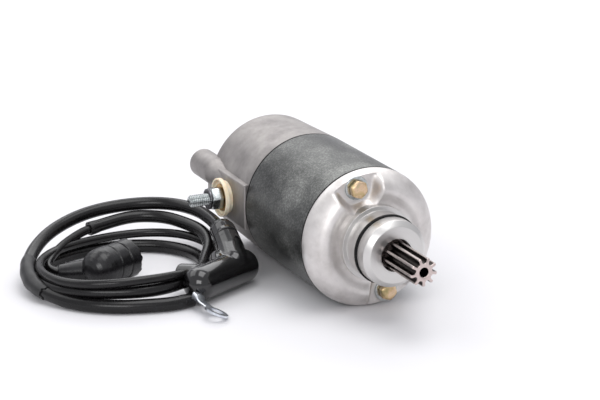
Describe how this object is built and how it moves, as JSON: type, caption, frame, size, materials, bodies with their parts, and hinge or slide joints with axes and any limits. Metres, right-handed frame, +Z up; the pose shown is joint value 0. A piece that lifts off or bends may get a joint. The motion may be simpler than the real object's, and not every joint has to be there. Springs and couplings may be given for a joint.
{
  "type": "starter motor",
  "caption": "Cylindrical electric starter motor with a toothed pinion shaft, spigot nose, side terminal stud, rear lugs and a loose coiled lead.",
  "frame": {"origin": "on the motor's axis, in the plane of the nose shoulder that seats on the crankcase", "axes": "+X along the motor's axis out of the nose towards the pinion, +Z up, and the terminal stud points to -Y"},
  "size_m": [0.1863, 0.1763, 0.065],
  "materials": {
    "cast_aluminium": "bead-blasted die casting",
    "rear_casting": "matt sand-coloured die casting",
    "zinc_steel": "grey zinc flake plated steel",
    "bearing_steel": "ground",
    "shaft_steel": "hardened and ground",
    "lamination_steel": "stamped stack",
    "ferrite": "sintered ferrite",
    "enamelled_copper": "enamelled wire",
    "copper": "bare copper",
    "bronze": "sintered bronze",
    "graphite": "pressed carbon",
    "black_rubber": "moulded nitrile",
    "phenolic": "moulded phenolic",
    "cream_nylon": "moulded nylon",
    "bright_zinc": "bright zinc plated",
    "yellow_zinc": "yellow zinc plated",
    "spring_steel": "drawn wire",
    "black_vinyl": "glossy dipped vinyl",
    "satin_vinyl": "satin vinyl sheath",
    "tinned_copper": "tinned"
  },
  "bodies": {
    "housing": {"bearing_outer_race": "bearing_steel", "brush_plate": "zinc_steel", "brush_spring_1": "spring_steel", "brush_spring_2": "spring_steel", "brush_spring_3": "spring_steel", "brush_spring_4": "spring_steel", "earth_brush_holders": "bronze", "field_magnets": "ferrite", "front_cover": "cast_aluminium", "front_oil_seal": "black_rubber", "front_seam_ring": "black_rubber", "holder_insulators": "phenolic", "inner_insulator": "phenolic", "lead_coil": "satin_vinyl", "live_brush_holders": "bronze", "live_bus_bar": "copper", "lock_washer": "spring_steel", "motor_boot": "black_vinyl", "nose_o_ring": "black_rubber", "outer_insulator": "cream_nylon", "rear_bush": "bronze", "rear_cover": "rear_casting", "rear_seam_ring": "black_rubber", "relay_boot": "black_vinyl", "ring_terminal": "tinned_copper", "terminal_nut": "bright_zinc", "terminal_o_ring": "black_rubber", "terminal_stud": "bright_zinc", "terminal_washer": "yellow_zinc", "through_bolt_o_rings": "black_rubber", "through_bolt_washers": "bright_zinc", "through_bolts": "yellow_zinc", "yoke_tube": "zinc_steel"},
    "armature": {"armature_shaft": "shaft_steel", "armature_core": "lamination_steel", "armature_windings": "enamelled_copper", "commutator_hub": "phenolic", "commutator_segments": "copper", "bearing_inner_race": "bearing_steel", "front_thrust_washers": "bearing_steel", "rear_thrust_washers": "phenolic"},
    "bearing_cage": {"bearing_balls": "bearing_steel", "bearing_cage": "bearing_steel"},
    "brush_1": {"brush_1": "graphite"},
    "brush_2": {"brush_2": "graphite"},
    "brush_3": {"brush_3": "graphite"},
    "brush_4": {"brush_4": "graphite"}
  },
  "joints": [
    {"name": "armature_spin", "type": "hinge", "parent": "housing", "child": "armature", "pos_m": [0, 0, 0], "axis": [1, 0, 0], "continuous": true},
    {"name": "bearing_cage_spin", "type": "hinge", "parent": "housing", "child": "bearing_cage", "pos_m": [0, 0, 0], "axis": [1, 0, 0], "continuous": true},
    {"name": "brush_1_slide", "type": "slide", "parent": "housing", "child": "brush_1", "axis": [0, -0.8829, 0.4695], "range_m": [0, 0.0025], "stiffness_N_per_m": 500, "springref_m": -0.01, "deforming": ["brush_spring_1"]},
    {"name": "brush_2_slide", "type": "slide", "parent": "housing", "child": "brush_2", "axis": [0, -0.4695, -0.8829], "range_m": [0, 0.0025], "stiffness_N_per_m": 500, "springref_m": -0.01, "deforming": ["brush_spring_2"]},
    {"name": "brush_3_slide", "type": "slide", "parent": "housing", "child": "brush_3", "axis": [0, 0.8829, -0.4695], "range_m": [0, 0.0025], "stiffness_N_per_m": 500, "springref_m": -0.01, "deforming": ["brush_spring_3"]},
    {"name": "brush_4_slide", "type": "slide", "parent": "housing", "child": "brush_4", "axis": [0, 0.4695, 0.8829], "range_m": [0, 0.0025], "stiffness_N_per_m": 500, "springref_m": -0.01, "deforming": ["brush_spring_4"]}
  ],
  "couplings": [
    {"joint": "bearing_cage_spin", "follows": "armature_spin", "ratio": 0.4}
  ]
}
